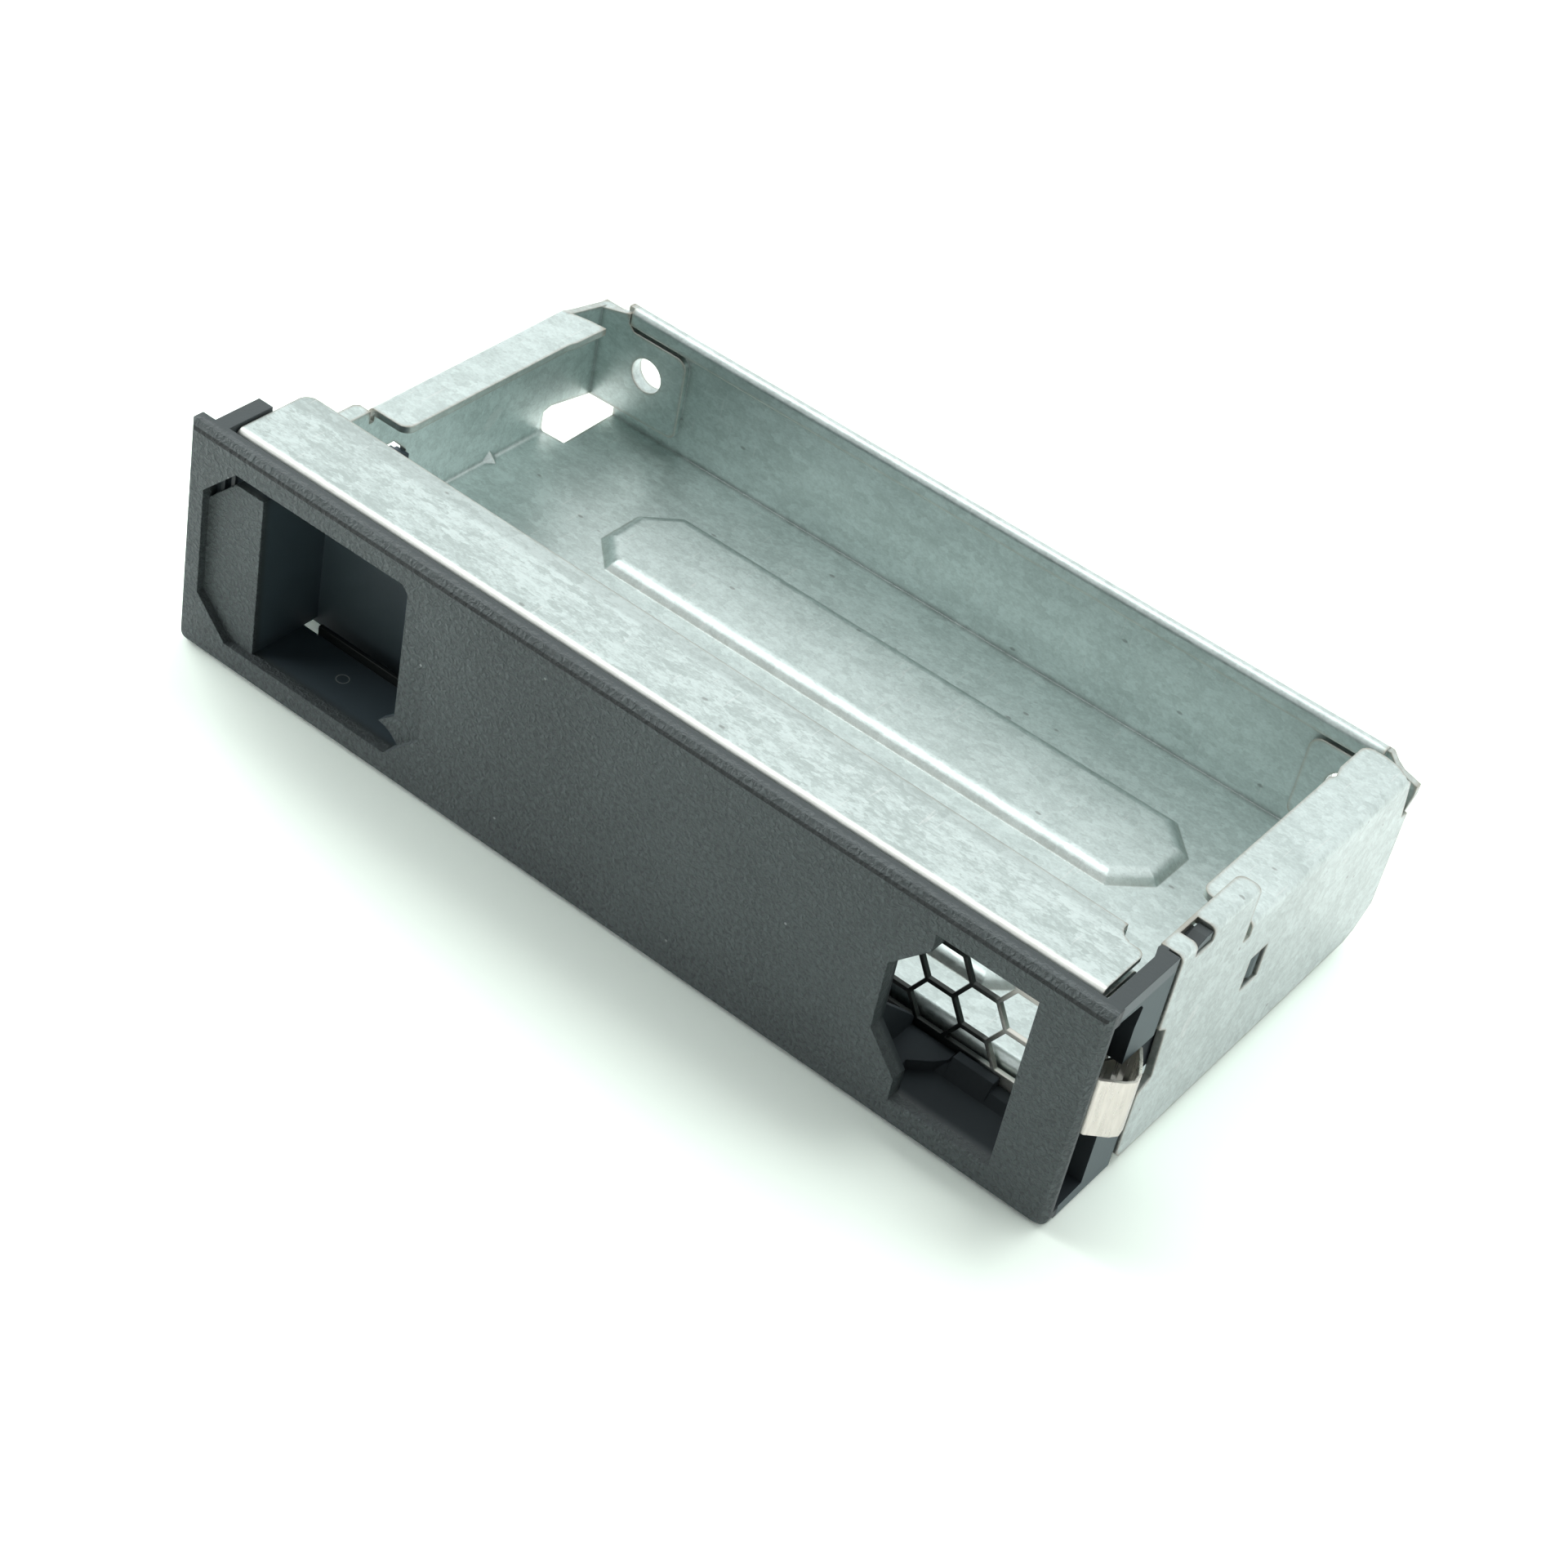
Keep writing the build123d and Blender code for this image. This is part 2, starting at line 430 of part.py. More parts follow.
    # Rear wall with its hem folded to the inside; its right end laps behind the side wall
    rear_out = rear_y + sheet
    rear_x0 = tray_left_x + 3.7
    rear_x1 = tray_right_x - 3.6
    rear_rim_z = rim_z - 0.2
    upright([(rear_x0, floor_bot), (rear_x1, floor_bot), (right_in, floor_bot + 3.0), (right_in, 13.9),
             (tray_right_x - 0.6, 13.9), (tray_right_x, 17.4), (tray_right_x, 18.6), (tray_right_x - 2.0, 19.15),
             (tray_right_x - 2.8, 19.7), (rear_x1, rear_rim_z - 0.4), (rear_x0, rear_rim_z - 0.4), (rear_x0, 19.2),
             (tray_left_x, 19.2), (tray_left_x, 7.6), (rear_x0, 7.6)], rear_y, rear_out)
    with BuildSketch(Plane.YZ.offset(rear_x0 + 1.0)):
        with BuildLine():
            Polyline((rear_y - sheet, rear_rim_z - hem_drop), (rear_y - sheet, rear_rim_z - sheet))
            ThreePointArc((rear_y - sheet, rear_rim_z - sheet), (rear_y, rear_rim_z), (rear_out, rear_rim_z - sheet))
            Polyline((rear_out, rear_rim_z - sheet), (rear_out, rear_rim_z - hem_drop),
                     (rear_y - sheet, rear_rim_z - hem_drop))
        make_face()
    extrude(amount=rear_x1 - 0.4 - (rear_x0 + 1.0))

    # Corner tabs of the side walls, lapped inside the rear wall
    tab_y = rear_y - sheet
    tab_z1 = rear_rim_z - hem_drop - 0.55
    left_tab_x = tray_left_x + 12.7
    right_tab_x = tray_right_x - 11.3
    upright([(left_in, 8.0), (left_tab_x, 8.4), (left_tab_x, tab_z1), (rear_x0 + 1.6, tab_z1), (rear_x0 + 0.85, tab_z1 + 0.7),
             (rear_x0 + 0.85, 20.3), (rear_x0, 20.0), (left_in, 19.2)], tab_y, rear_y)
    upright([(right_in, 8.0), (right_tab_x, 8.4), (right_tab_x, tab_z1), (rear_x1 + 0.1, tab_z1), (right_in, 16.8)],
            tab_y, rear_y)
    for tab_x in (left_tab_x, right_tab_x):
        fillet(edges_at(steel_tray, Axis.Y, x=tab_x, y=rear_y - sheet / 2, z=tab_z1), 1.4)
        fillet(edges_at(steel_tray, Axis.Y, x=tab_x, y=rear_y - sheet / 2, z=8.4), 1.0)
    for hole_x in (tray_left_x + 7.8, tray_right_x - 6.55):
        with BuildSketch(Plane.XZ.offset(-(tab_y - 0.1))):
            with Locations((hole_x, tab_hole_z)):
                Circle(tab_hole_r)
        extrude(amount=-(2 * sheet + 0.2), mode=Mode.SUBTRACT)

    # Corner cut-outs in the floor
    flat([(tray_left_x - 0.1, rear_y - 8.6), (rear_x0 + 0.2, rear_y - 8.4), (rear_x0, rear_y), (tray_left_x - 0.1, rear_y)],
         floor_bot - 0.1, floor_z + 1.1, Mode.SUBTRACT)
    flat([(right_in - 3.0, rear_y - 5.8), (right_in - 1.1, rear_y - 5.8), (right_in - 1.1, rear_y - 0.9),
          (right_in - 3.0, rear_y - 0.9)], floor_bot - 0.1, floor_z + 0.2, Mode.SUBTRACT)

    # Pads, and the small gusset pressed into the bend of the left wall
    pad(rear_y - 22.0, rear_y - 8.7)
    pad(rear_y - 42.8, rear_y - 29.5)
    gusset_y = rear_y - 17.1
    peak = []
    for y, size in ((gusset_y - 0.9, 0.3), (gusset_y, 1.2), (gusset_y + 0.9, 0.3)):
        with BuildSketch(Plane.XZ.offset(-y)) as slice_face:
            with BuildLine():
                Polyline((left_in - 0.1, floor_z - 0.1), (left_in + size, floor_z - 0.1), (left_in - 0.1, floor_z + size),
                         close=True)
            make_face()
        peak.append(slice_face.sketch)
    loft(sections=peak[:2])
    loft(sections=peak[1:])

steel_tray.part.label = "steel_tray"
steel_tray.part.color = Color(0.66, 0.7, 0.69)


# Contact spring: one bent strip in the right side recess
with BuildPart() as contact_spring:
    path = [(-1.55, 2.3), (-1.25, 3.6), (-1.55, 4.9), (-1.0, 6.1), (-1.5, 7.3), (-1.4, 8.7), (-0.9, 9.25), (-0.2, 9.0),
            (1.1, 6.6), (2.25, 4.2), (2.4, 3.3), (1.9, 2.6), (0.2, 1.25), (-0.6, 1.2)]
    path = [(plate_w / 2 + px, py) for px, py in path]
    outer = []
    inner = []
    for i, (px, py) in enumerate(path):
        ax, ay = path[max(i - 1, 0)]
        bx, by = path[min(i + 1, len(path) - 1)]
        dx, dy = bx - ax, by - ay
        length = math.hypot(dx, dy)
        nx, ny = -dy / length * spring_t / 2, dx / length * spring_t / 2
        outer.append((px + nx, py + ny))
        inner.append((px - nx, py - ny))
    flat(outer + inner[::-1], spring_z0, spring_z1)
    # The inner leaf is narrower, and the top edge slopes down to it
    box(plate_w / 2 - 2.5, plate_w / 2 - 0.75, 1.6, 9.6, spring_inner_z1, spring_z1 + 0.1, Mode.SUBTRACT)
    side_on([(4.4, spring_z1), (9.7, spring_inner_z1 - 0.5), (9.7, spring_z1 + 0.1), (4.4, spring_z1 + 0.1)],
            plate_w / 2 - 1.0, plate_w / 2 + 3.5, Mode.SUBTRACT)

contact_spring.part.label = "contact_spring"
contact_spring.part.color = Color(0.85, 0.82, 0.72)

# Row frame: origin under the middle of the whole part, on the plane that it stands on
pieces = [front_bezel.part, front_panel.part, steel_tray.part, contact_spring.part]
extent = Compound(children=[copy.copy(piece) for piece in pieces]).bounding_box()
to_row = Location((-extent.center().X, -extent.center().Y, -extent.min.Z))
for piece in pieces:
    name = piece.label
    moved = piece.moved(to_row)
    moved.label = name
    export_step(moved, os.path.join("parts", name + ".step"))
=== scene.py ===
"""Dresses the drive bay blank: textured black moulding, zinc-coated sheets, plated spring, plain studio."""

import bmesh
import bpy
from mathutils import Matrix, Vector


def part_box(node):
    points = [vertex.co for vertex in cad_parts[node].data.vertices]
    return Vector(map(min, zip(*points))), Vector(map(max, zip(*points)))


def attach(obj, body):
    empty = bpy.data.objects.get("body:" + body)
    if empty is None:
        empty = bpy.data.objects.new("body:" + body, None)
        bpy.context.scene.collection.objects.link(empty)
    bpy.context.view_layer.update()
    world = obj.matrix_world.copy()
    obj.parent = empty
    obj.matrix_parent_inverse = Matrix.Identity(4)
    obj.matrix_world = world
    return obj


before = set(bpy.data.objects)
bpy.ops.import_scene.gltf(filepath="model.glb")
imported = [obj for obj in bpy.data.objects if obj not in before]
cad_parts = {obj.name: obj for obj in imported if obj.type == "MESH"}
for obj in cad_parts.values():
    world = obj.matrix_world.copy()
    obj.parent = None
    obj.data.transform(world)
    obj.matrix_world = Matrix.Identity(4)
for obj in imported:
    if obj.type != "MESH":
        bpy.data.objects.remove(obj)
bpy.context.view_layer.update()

bl_info = {
    "name": "Drive Bay Blank",
    "version": (1, 0, 0),
    "blender": (4, 5, 0),
    "location": "View3D > Sidebar > Blank",
    "description": "Finishes and studio for a drive blank of black moulding and folded galvanised sheet",
    "category": "Object",
}

MM = 0.001
ACROSS, ALONG, UP = range(3)
BEZEL_LOW, BEZEL_HIGH = (Vector(corner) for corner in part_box("front_bezel"))
PANEL_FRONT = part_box("front_panel")[0][ALONG]
SPRING_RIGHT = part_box("contact_spring")[1][ACROSS]
PLATE_MID_X = (BEZEL_LOW.x + BEZEL_HIGH.x) / 2


def place(x, y, z):
    """Point measured in millimetres from the plate's middle, front face and lower edge."""
    return Vector((PLATE_MID_X + x * MM, BEZEL_LOW.y + y * MM, BEZEL_LOW.z + z * MM))


# Zones of the moulding, each from where its soft edge starts to where it ends
GRAIN_REAR = BEZEL_LOW.y + 1.5 * MM, BEZEL_LOW.y + 0.95 * MM
RECESS_FRONT = BEZEL_LOW.y + 1.2 * MM, BEZEL_LOW.y + 2.2 * MM
RECESS_TOP = BEZEL_HIGH.z - 1.4 * MM, BEZEL_HIGH.z - 1.8 * MM
RIGHT_HALF = -5 * MM, 5 * MM
FLANK_SIDE = BEZEL_HIGH.x - 0.5 * MM, BEZEL_HIGH.x - 0.3 * MM
FLANK_FRONT = BEZEL_LOW.y + 1.9 * MM, BEZEL_LOW.y + 2.1 * MM

# Painted shadow line along the lower edge of the chamfer at the plate's top
CREST_Z = BEZEL_HIGH.z - 0.65 * MM
CREST_LOW = CREST_Z - 0.26 * MM, CREST_Z - 0.18 * MM
CREST_HIGH = CREST_Z + 0.20 * MM, CREST_Z + 0.12 * MM
CREST_REAR = BEZEL_LOW.y + 0.28 * MM, BEZEL_LOW.y + 0.20 * MM

# Zones of the vented panel: margin behind its strip, hem in front with its painted highlight, and honeycomb
# bars below the window's top with their painted shade and highlight
MARGIN_Y = place(0, 9.9, 0).y
MARGIN = MARGIN_Y - 0.3 * MM, MARGIN_Y + 0.3 * MM
HEM_REAR = PANEL_FRONT + 0.95 * MM, PANEL_FRONT + 0.45 * MM
WINDOW_Z = place(0, 0, 21.5).z
HEM_FOOT = WINDOW_Z, WINDOW_Z + 2.0 * MM
BARS_TOP = WINDOW_Z + 0.3 * MM, WINDOW_Z
BRIGHT_X = place(40.3, 0, 0).x
DARK_BARS = BRIGHT_X - 1.2 * MM, BRIGHT_X + 0.6 * MM
BRIGHT_BARS = BRIGHT_X, BRIGHT_X + 1.5 * MM

# Inner leaf of the contact spring, which gets painted shade
LEAF_RIGHT = SPRING_RIGHT - 2.4 * MM, SPRING_RIGHT - 2.9 * MM

# Cells per millimetre of the zinc coat's patterns. Those with one number are stretched by a sheet's rolling.
WARP_CELLS = 1.1
CRYSTAL_CELLS = 0.95
GRAIN_CELLS = 2.6
FINE_CELLS = 2.2
FROST_CELLS = 4.6
CLOUD_CELLS = 0.17
STREAK_CELLS = 0.03, 1.3, 1.3
SCRATCH_CELLS = 3.2, 0.22, 0.22
SPECK_CELLS = 0.24, 0.45, 0.45

# How many cells the warp moves a crystal by, and the step from dark to light crystals
WARP_REACH = 1.1
TONE_MIDDLE = 1.125
TONE_HALF = 0.36

# Colours of painted shade, wear, specks, painted highlights and dust
PAINTED_SHADE = (0.15, 0.155, 0.145, 1)
SCRATCH = (0.86, 0.90, 0.88, 1)
SPECK = (0.20, 0.21, 0.20, 1)
SHADE = (0.02, 0.02, 0.02, 1)
PAINTED_BAR_SHADE = (0.045, 0.052, 0.050, 1)
PAINTED_BAR_HIGHLIGHT = (0.93, 0.93, 0.85, 1)
PAINTED_HEM_HIGHLIGHT = (0.96, 0.965, 0.90, 1)
DUST = (0.42, 0.46, 0.45, 1)

# Ejector mark, a raised ring on the pocket's floor
MARK_RADIUS = 0.72 * MM
MARK_INSIDE = 0.84
MARK_WALL = 0.05 * MM
MARK_LIFT = 0.02 * MM
MARK_SPOT = place(-35.7, 5.0, 3.07)

# Floor, and the colour of its paper to diffuse rays, to reflections and to the camera
FLOOR_HALF = 3.0
PAPER_LIT = (0.88, 0.98, 0.92, 1)
PAPER_MIRRORED = (0.88, 0.875, 0.86, 1)
PAPER_SEEN = (1.18, 1.32, 1.22, 1)
PAPER_GLOW = 0.02

# Lamps: place, target and width in millimetres, setting of the power, kind of ray that doesn't see them
LAMPS = (
    ("key_lamp", (60, 760, 820), (0, 20, 0), 1350, "key_power", "visible_glossy"),
    ("top_lamp", (-360, 20, 860), (0, 20, 0), 480, "top_power", "visible_diffuse"),
    ("side_lamp", (-700, 110, 340), (0, 20, 0), 560, "side_power", "visible_glossy"),
    ("front_lamp", (-240, -100, 80), (-40, 0, 10), 120, "front_power", "visible_glossy"),
    ("right_lamp", (300, 60, 70), (50, 20, 12), 120, "right_power", "visible_glossy"),
)

# Camera: its place, and the directions to its right and behind it
CAMERA_SPOT = place(121.0, -179.3, 201.82)
CAMERA_RIGHT = Vector((0.7761, 0.6075, 0.1693))
CAMERA_BACK = Vector((0.3805, -0.6652, 0.6425))


class BlankFinishes(bpy.types.PropertyGroup):
    """Colours and grain sizes of the blank."""

    bezel_colour: bpy.props.FloatVectorProperty(
        name="Bezel colour", description="Black of the grained faceplate", subtype="COLOR", size=4,
        min=0, max=1, default=(0.090, 0.108, 0.109, 1))
    bezel_grain: bpy.props.FloatProperty(
        name="Bezel grain", description="Width of the raised grains of the faceplate", default=0.28 * MM,
        unit="LENGTH", precision=5)
    bezel_inside: bpy.props.FloatVectorProperty(
        name="Bezel inside", description="Smooth black inside the pocket and recesses", subtype="COLOR",
        size=4, min=0, max=1, default=(0.062, 0.086, 0.100, 1))
    bezel_outside: bpy.props.FloatVectorProperty(
        name="Bezel outside", description="Smooth black of the moulding's sides", subtype="COLOR", size=4,
        min=0, max=1, default=(0.049, 0.062, 0.064, 1))
    mark_colour: bpy.props.FloatVectorProperty(
        name="Ejector mark", description="Rubbed plastic of the ejector mark", subtype="COLOR", size=4,
        min=0, max=1, default=(0.24, 0.27, 0.27, 1))
    steel_light: bpy.props.FloatVectorProperty(
        name="Steel light", description="Light crystals of the zinc coat", subtype="COLOR", size=4,
        min=0, max=1, default=(0.685, 0.79, 0.77, 1))
    steel_dark: bpy.props.FloatVectorProperty(
        name="Steel dark", description="Dark crystals of the zinc coat", subtype="COLOR", size=4,
        min=0, max=1, default=(0.475, 0.56, 0.54, 1))
    steel_cut: bpy.props.FloatVectorProperty(
        name="Cut edge", description="Bare steel where the sheet was cut", subtype="COLOR", size=4,
        min=0, max=1, default=(0.42, 0.38, 0.31, 1))
    spring_colour: bpy.props.FloatVectorProperty(
        name="Spring colour", description="Plating of the contact spring", subtype="COLOR", size=4,
        min=0, max=1, default=(0.92, 0.92, 0.83, 1))


class BlankStudio(bpy.types.PropertyGroup):
    """Lens, lamps and room light."""

    lens: bpy.props.FloatProperty(
        name="Lens", description="Focal length of the camera", default=72.52, subtype="DISTANCE_CAMERA")
    key_power: bpy.props.FloatProperty(
        name="Key lamp", description="Power of the lamp behind the blank", default=16.0, unit="POWER")
    top_power: bpy.props.FloatProperty(
        name="Top lamp", description="Power of the lamp above the blank", default=1.4, unit="POWER")
    front_power: bpy.props.FloatProperty(
        name="Front lamp", description="Power of the small low lamp at the front left", default=0.36,
        unit="POWER")
    right_power: bpy.props.FloatProperty(
        name="Right lamp", description="Power of the small low lamp at the right", default=0.26,
        unit="POWER")
    side_power: bpy.props.FloatProperty(
        name="Side lamp", description="Power of the low lamp at the left", default=6.2, unit="POWER")
    sky: bpy.props.FloatProperty(
        name="Room light", description="Strength of the light from all sides", default=0.12, min=0)


def tinted(colour, factor, most=1.0):
    """Colour made darker or lighter by a factor."""
    return tuple(min(most, channel * factor) for channel in colour[:3]) + (1,)


def tree_of(name):
    """New material, its node tree and its shader."""
    material = bpy.data.materials.new(name)
    material.use_nodes = True
    tree = material.node_tree
    return material, tree, tree.nodes["Principled BSDF"]


def fill(tree, socket, value):
    """Links an input to an output, or sets its value."""
    if isinstance(value, bpy.types.NodeSocket):
        tree.links.new(value, socket)
    else:
        socket.default_value = value


def node(tree, kind, **settings):
    """Adds a node. Settings whose name starts with in_ fill the input of that name or number."""
    made = tree.nodes.new("ShaderNode" + kind)
    for key, value in settings.items():
        if key.startswith("in_"):
            socket = key[3:].replace("_", " ")
            fill(tree, made.inputs[int(socket) if socket.isdigit() else socket], value)
        else:
            setattr(made, key, value)
    return made


def maths(tree, operation, first, second):
    """Result of a Math node."""
    return node(tree, "Math", operation=operation, in_0=first, in_1=second).outputs[0]


def product(tree, first, *others):
    """Product of masks and numbers."""
    for other in others:
        first = maths(tree, "MULTIPLY", first, other)
    return first


def ramp(tree, value, low, high, to_low=0.0, to_high=1.0):
    """Smooth step of a value from low..high to to_low..to_high."""
    return node(tree, "MapRange", interpolation_type="SMOOTHSTEP", in_0=value, in_1=low, in_2=high,
                in_3=to_low, in_4=to_high).outputs[0]


def blend_colour(tree, factor, first, second):
    """Colour between two colours."""
    made = node(tree, "Mix", data_type="RGBA")
    for socket, value in ((0, factor), (6, first), (7, second)):
        fill(tree, made.inputs[socket], value)
    return made.outputs[2]


def coordinates(tree):
    """Object coordinates, one output for each axis."""
    return node(tree, "SeparateXYZ", in_0=node(tree, "TexCoord").outputs["Object"]).outputs


def normals(tree):
    """Normal of the surface, one output for each axis."""
    return node(tree, "SeparateXYZ", in_0=node(tree, "NewGeometry").outputs["Normal"]).outputs


def stretched(tree, cells):
    """Object coordinates scaled to a number of cells per metre along each axis."""
    metres = node(tree, "TexCoord").outputs["Object"]
    return node(tree, "Mapping", vector_type="POINT", in_Vector=metres, in_Scale=cells).outputs[0]


def noise(tree, cells, detail, roughness=0.5, output=0, **settings):
    """Noise with a number of cells per metre along each axis."""
    return node(tree, "TexNoise", in_Scale=1.0, in_Detail=detail, in_Roughness=roughness,
                in_Vector=stretched(tree, cells), **settings).outputs[output]


def patches(tree, where):
    """Voronoi patches: the distance from a patch's middle, and three random values for each patch."""
    made = node(tree, "TexVoronoi", feature="F1", in_Scale=1.0, in_Randomness=1.0, in_Vector=where)
    return made.outputs["Distance"], node(tree, "SeparateColor", in_0=made.outputs["Color"]).outputs


def bumped(tree, shader, height, strength, distance, edge_radius):
    """Gives a shader a bump over softened edges."""
    rounded = node(tree, "Bevel", samples=4, in_Radius=edge_radius).outputs[0]
    bump = node(tree, "Bump", in_Strength=strength, in_Distance=distance, in_Height=height,
                in_Normal=rounded)
    tree.links.new(bump.outputs[0], shader.inputs["Normal"])


def galvanised_sheet(name, gauge, finishes, rolled, mottle, gain, vented=False):
    """Zinc-coated sheet: crystals, streaks, scratches, specks, painted shade in creases and bare cut edges.

    Its pattern has rolled times the usual cells along each axis, mottle times the contrast and gain times
    the brightness. A vented sheet also has the panel's darker margin, the painted shade and highlights of
    its bars and hem, and no painted shade on its front faces.
    """
    material, tree, shader = tree_of(name)
    spot = coordinates(tree)

    def along_rolling(per_mm):
        return tuple(per_mm * share / MM for share in rolled)

    def per_metre(per_mm):
        return tuple(cells / MM for cells in per_mm)

    warp = noise(tree, along_rolling(WARP_CELLS), 3.0, 0.6, "Color")
    warp = node(tree, "VectorMath", operation="MULTIPLY", in_0=warp, in_1=(WARP_REACH,) * 3).outputs[0]
    where = node(tree, "VectorMath", operation="ADD", in_0=warp,
                 in_1=stretched(tree, along_rolling(CRYSTAL_CELLS))).outputs[0]
    _, crystals = patches(tree, where)
    _, grains = patches(tree, stretched(tree, along_rolling(GRAIN_CELLS)))
    fine = noise(tree, along_rolling(FINE_CELLS), 4.0, 0.72)
    frost = noise(tree, along_rolling(FROST_CELLS), 2.0, 0.6)
    clouds = noise(tree, along_rolling(CLOUD_CELLS), 3.0, 0.55)
    streaks = noise(tree, per_metre(STREAK_CELLS), 2.0)
    tone = product(tree, crystals[0], 0.26)
    for part, share in ((grains[2], 0.22), (fine, 0.52), (frost, 0.60), (clouds, 0.45), (streaks, 0.20)):
        tone = maths(tree, "ADD", tone, product(tree, part, share))
    half = TONE_HALF / mottle
    colour = blend_colour(tree, ramp(tree, tone, TONE_MIDDLE - half, TONE_MIDDLE + half),
                          tinted(finishes.steel_dark, gain, most=0.9),
                          tinted(finishes.steel_light, gain, most=0.9))
    if vented:
        colour = blend_colour(tree, ramp(tree, spot[ALONG], *MARGIN, 0.0, 0.40), colour,
                              tinted(finishes.steel_dark, 0.86))

    scratches = noise(tree, per_metre(SCRATCH_CELLS), 1.0, 0.4)
    colour = blend_colour(tree, ramp(tree, scratches, 0.715, 0.75, 0.0, 0.30), colour, SCRATCH)
    distance, chances = patches(tree, stretched(tree, per_metre(SPECK_CELLS)))
    chosen = maths(tree, "GREATER_THAN", chances[1], 0.62)
    speck = product(tree, ramp(tree, distance, 0.11, 0.05), chosen, 0.55)
    colour = blend_colour(tree, speck, colour, SPECK)
    # Painted shade in corners and creases, darker where ambient occlusion finds them
    corner = node(tree, "AmbientOcclusion", samples=6, only_local=True, in_Distance=1.1 * MM).outputs["AO"]
    colour = blend_colour(tree, ramp(tree, corner, 0.80, 0.48, 0.0, 0.52), colour, PAINTED_SHADE)
    if not vented:
        # Painted shade on faces turned to the front
        shade = ramp(tree, normals(tree)[ALONG], -0.55, -0.85, 0.0, 0.20)
        colour = blend_colour(tree, shade, colour, SHADE)
    inside = node(tree, "AmbientOcclusion", samples=6, inside=True, only_local=True,
                  in_Distance=gauge * 0.92).outputs["AO"]
    cut = product(tree, ramp(tree, inside, 0.70, 0.55), 0.75)
    colour = blend_colour(tree, cut, colour, finishes.steel_cut)
    if vented:
        colour = vent_painted_light(tree, spot, colour)
    tree.links.new(colour, shader.inputs["Base Color"])
    shader.inputs["Metallic"].default_value = 0.92
    rough = maths(tree, "ADD", product(tree, fine, 0.26), 0.25)
    tree.links.new(rough, shader.inputs["Roughness"])
    height = maths(tree, "ADD", product(tree, frost, 0.6), product(tree, crystals[0], 0.20))
    bumped(tree, shader, height, strength=0.16, distance=0.05 * MM, edge_radius=gauge * 0.28)
    return material


def vent_painted_light(tree, spot, colour):
    """Painted shade and painted highlight on the honeycomb bars, and the painted highlight of the hem in
    front of the strip.
    """
    bars = ramp(tree, spot[UP], *BARS_TOP)
    # Painted shade on the honeycomb bars left of the lit ones
    dark = product(tree, bars, ramp(tree, spot[ACROSS], *DARK_BARS, 0.98, 0.0))
    # Painted highlight on the honeycomb bars at the right
    bright = product(tree, bars, ramp(tree, spot[ACROSS], *BRIGHT_BARS, 0.0, 0.7))
    # Painted highlight along the hem's bend in front of the strip
    hem = product(tree, ramp(tree, spot[ALONG], *HEM_REAR, 0.0, 0.6), ramp(tree, spot[UP], *HEM_FOOT))
    for mask, mark in ((dark, PAINTED_BAR_SHADE), (bright, PAINTED_BAR_HIGHLIGHT), (hem, PAINTED_HEM_HIGHLIGHT)):
        colour = blend_colour(tree, mask, colour, mark)
    return colour


def black_moulding(finishes):
    """Moulded black: sparked grain on the faceplate, smooth and slightly glossy behind it; painted shade in
    the right-hand recess, the grain's pits and under the top chamfer, and painted light on raised grains and
    the right side.
    """
    material, tree, shader = tree_of("bezel_moulding")
    spot = coordinates(tree)
    normal = normals(tree)
    plate = finishes.bezel_colour
    textured = product(tree, ramp(tree, spot[ALONG], *GRAIN_REAR), ramp(tree, normal[ALONG], 0.2, -0.2))
    within = product(tree, ramp(tree, spot[UP], *RECESS_TOP), ramp(tree, spot[ALONG], *RECESS_FRONT),
                     maths(tree, "SUBTRACT", 1.0, textured))
    right = ramp(tree, spot[ACROSS], *RIGHT_HALF)
    # Painted light: the moulding's right side faces are made lighter
    flank_painted_light = product(tree, ramp(tree, spot[ACROSS], *FLANK_SIDE), ramp(tree, normal[ACROSS], 0.7, 0.9),
                    ramp(tree, spot[ALONG], *FLANK_FRONT))
    # Painted shadow line under the top chamfer
    crest_shadow = product(tree, ramp(tree, spot[UP], *CREST_LOW), ramp(tree, spot[UP], *CREST_HIGH),
                    ramp(tree, spot[ALONG], *CREST_REAR, 0.0, 0.8))

    cells = noise(tree, (0.62 / finishes.bezel_grain,) * 3, 3.0, 0.55, in_Distortion=0.6)
    lumps = ramp(tree, cells, 0.40, 0.66)
    clouds = noise(tree, (35,) * 3, 2.0)
    distance, chances = patches(tree, stretched(tree, (330,) * 3))
    chosen = maths(tree, "GREATER_THAN", chances[0], 0.60)

    colour = blend_colour(tree, ramp(tree, clouds, 0.35, 0.68), plate, tinted(plate, 1.22))
    colour = blend_colour(tree, textured, finishes.bezel_outside, colour)
    # Painted shade: the right-hand recess is made darker than the pocket
    recess_and_shade = blend_colour(tree, right, finishes.bezel_inside, tinted(finishes.bezel_inside, 0.3))
    for mask, mark in (
            (within, recess_and_shade),
            (flank_painted_light, tinted(finishes.bezel_outside, 2.4)),
            # Painted shade in the grain's pits and painted highlight on its raised grains, following the
            # bump
            (product(tree, ramp(tree, cells, 0.46, 0.34), textured, 0.36), tinted(plate, 0.35)),
            (product(tree, lumps, textured, 0.34), tinted(plate, 1.7)),
            (product(tree, ramp(tree, distance, 0.055, 0.035), chosen, 0.75), DUST),
            (crest_shadow, tinted(plate, 0.2))):
        colour = blend_colour(tree, mask, colour, mark)
    tree.links.new(colour, shader.inputs["Base Color"])
    rough = maths(tree, "ADD", product(tree, textured, 0.14), product(tree, within, right, 0.3))
    tree.links.new(maths(tree, "ADD", rough, 0.42), shader.inputs["Roughness"])
    shader.inputs["Specular IOR Level"].default_value = 0.35

    smooth_grain = noise(tree, (2600,) * 3, 4.0, 0.6)
    height = maths(tree, "ADD", product(tree, lumps, textured), product(tree, smooth_grain, 0.12))
    bumped(tree, shader, height, strength=1.0, distance=0.13 * MM, edge_radius=0.14 * MM)
    return material


